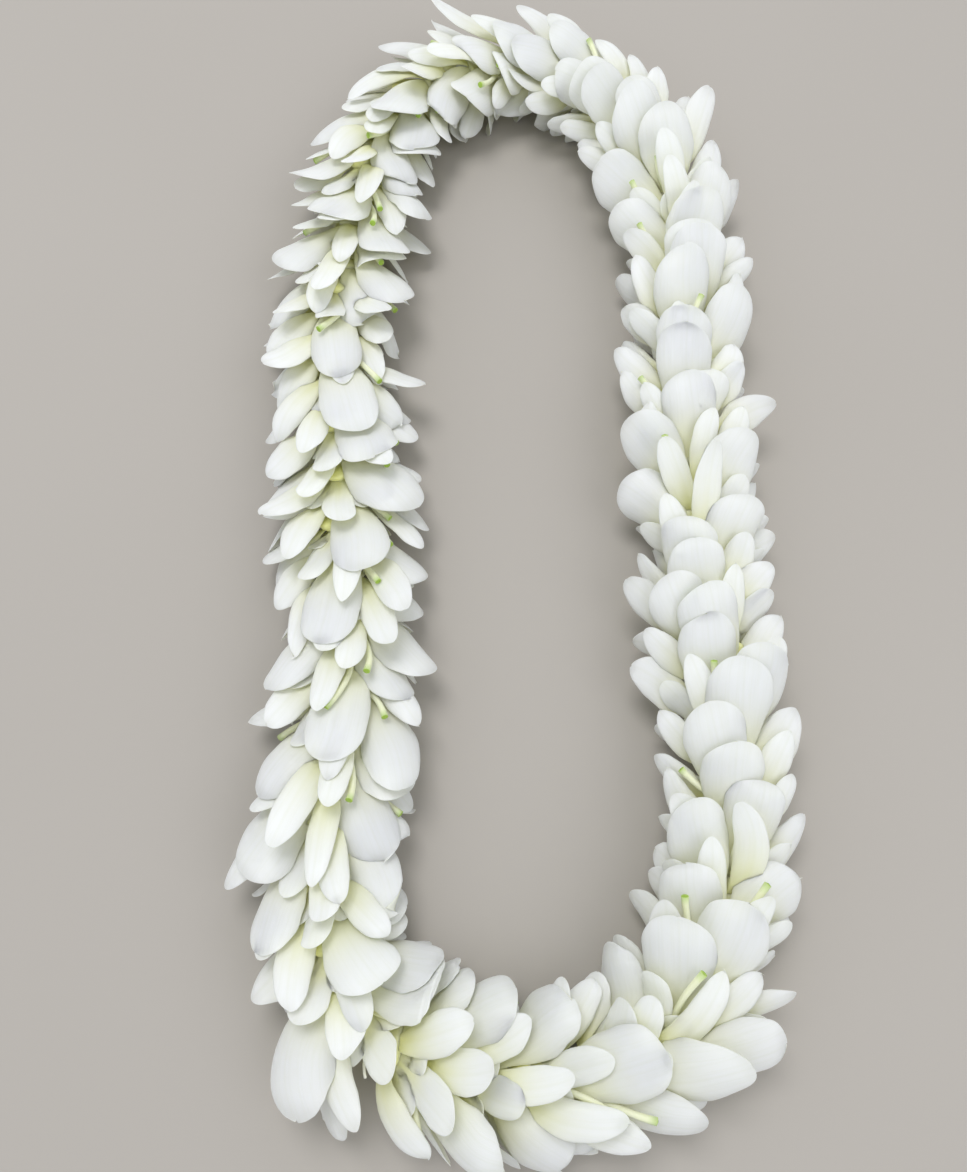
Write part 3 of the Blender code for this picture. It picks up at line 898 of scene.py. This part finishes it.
def petal_material():
    """Waxy white petal, veined along its length, yellow-green in its throat, with green cut stalks.

    The yellow also runs far up the leaves and over their inner faces as painted glow of light through them.
    """
    shader = Shader("orchid_petal")
    tint = shader.node("ShaderNodeVertexColor", layer_name="tint")
    parts = shader.node("ShaderNodeSeparateColor", Color=tint.outputs["Color"])
    yellow, green, shade = (parts.outputs[i] for i in range(3))
    leaf = shader.node("ShaderNodeUVMap", uv_map="leaf").outputs["UV"]
    stretched = shader.node("ShaderNodeMapping", Vector=leaf, Scale=VEIN_STRETCH)
    veins = shader.noise(stretched.outputs["Vector"], scale=1.0, detail=2.0, roughness=0.5)
    place = shader.node("ShaderNodeTexCoord").outputs["Object"]
    cells = shader.noise(place, scale=2600.0, detail=2.0, roughness=0.6)
    blotches = shader.noise(place, scale=120.0, detail=3.0, roughness=0.5)
    veined = shader.math("MULTIPLY", shader.ramp(veins, low=0.45, high=0.72), VEIN_STRENGTH)
    aged = shader.math("MULTIPLY", shader.ramp(blotches, low=0.52, high=0.80), AGED_STRENGTH)
    color = shader.mix(shade, COOL_WHITE, BRIGHT_WHITE)
    color = shader.mix(veined, color, VEIN_COLOR)
    color = shader.mix(aged, color, AGED_COLOR)
    # Throat yellow, and by the same tint the painted glow of light through the petals.
    color = shader.mix(yellow, color, THROAT_AND_GLOW_COLOR)
    color = shader.mix(green, color, STALK_COLOR)
    bumps = shader.math("ADD", shader.math("MULTIPLY", veins, 0.7), shader.math("MULTIPLY", cells, 0.3))
    shader.finish(
        Base_Color=color,
        Roughness=shader.math("ADD", 0.42, shader.math("MULTIPLY", blotches, 0.18)),
        Normal=shader.bump(bumps, strength=0.35, distance=0.00025),
        Subsurface_Weight=0.72, Subsurface_Scale=0.0030, Subsurface_Radius=(1.0, 1.0, 0.92),
        Specular_IOR_Level=0.35, Sheen_Weight=0.06,
    )
    return shader.material


def thread_material():
    """Undyed cotton thread, with the fibres' slant and a little fuzz."""
    shader = Shader("cotton_thread")
    place = shader.node("ShaderNodeTexCoord").outputs["Object"]
    fibres = shader.noise(place, scale=3500.0, detail=3.0, roughness=0.6)
    shader.finish(
        Base_Color=shader.mix(shader.ramp(fibres, low=0.35, high=0.7), *COTTON_COLORS),
        Normal=shader.bump(fibres, strength=0.6, distance=0.0001),
        Roughness=0.85, Sheen_Weight=0.3,
    )
    return shader.material


def floor_piece():
    """A plain pale floor, wide enough that its edge stays far behind the lei in every view."""
    shader = Shader("studio_floor")
    place = shader.node("ShaderNodeTexCoord").outputs["Object"]
    grain = shader.noise(place, scale=3.0, detail=2.0, roughness=0.5)
    shader.finish(Base_Color=shader.mix(grain, *FLOOR_COLORS), Roughness=0.9)
    mesh = bpy.data.meshes.new("floor")
    corners = [(x * FLOOR_REACH, y * FLOOR_REACH, 0) for x, y in ((-1, -1), (1, -1), (1, 1), (-1, 1))]
    mesh.from_pydata(corners, [], [(0, 1, 2, 3)])
    mesh.materials.append(shader.material)
    floor = bpy.data.objects.new("floor", mesh)
    bpy.context.scene.collection.objects.link(floor)


def lights():
    world = bpy.data.worlds.new("studio")
    bpy.context.scene.world = world
    world.use_nodes = True
    background = world.node_tree.nodes["Background"]
    background.inputs["Color"].default_value = SKY_COLOR
    background.inputs["Strength"].default_value = SKY_STRENGTH
    for name, place, size, power in LIGHTS:
        data = bpy.data.lights.new(name, "AREA")
        data.shape, data.size, data.energy = "DISK", size, power
        lamp = bpy.data.objects.new(name, data)
        lamp.location = place
        lamp.rotation_euler = (-Vector(place)).to_track_quat("-Z", "Y").to_euler()
        bpy.context.scene.collection.objects.link(lamp)


def camera():
    """Over the near end of the loop, tilted along it, as the photo was taken."""
    data = bpy.data.cameras.new("camera")
    data.sensor_fit, data.sensor_width, data.lens = "AUTO", 36.0, CAMERA_LENS
    data.clip_start, data.clip_end = 0.01, 20
    eye = bpy.data.objects.new("camera", data)
    eye.location = CAMERA_PLACE
    eye.rotation_euler = (CAMERA_TILT, 0, 0)
    bpy.context.scene.collection.objects.link(eye)
    bpy.context.scene.camera = eye


def main():
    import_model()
    petals = petal_material()
    blooms = all_blooms()
    for number in range(BLOOMS // BLOOMS_PER_NODE):
        bloom_piece(number, blooms, petals)
    thread_piece(thread_material())
    floor_piece()
    lights()
    camera()
    bpy.context.scene.view_settings.view_transform = "Standard"


main()
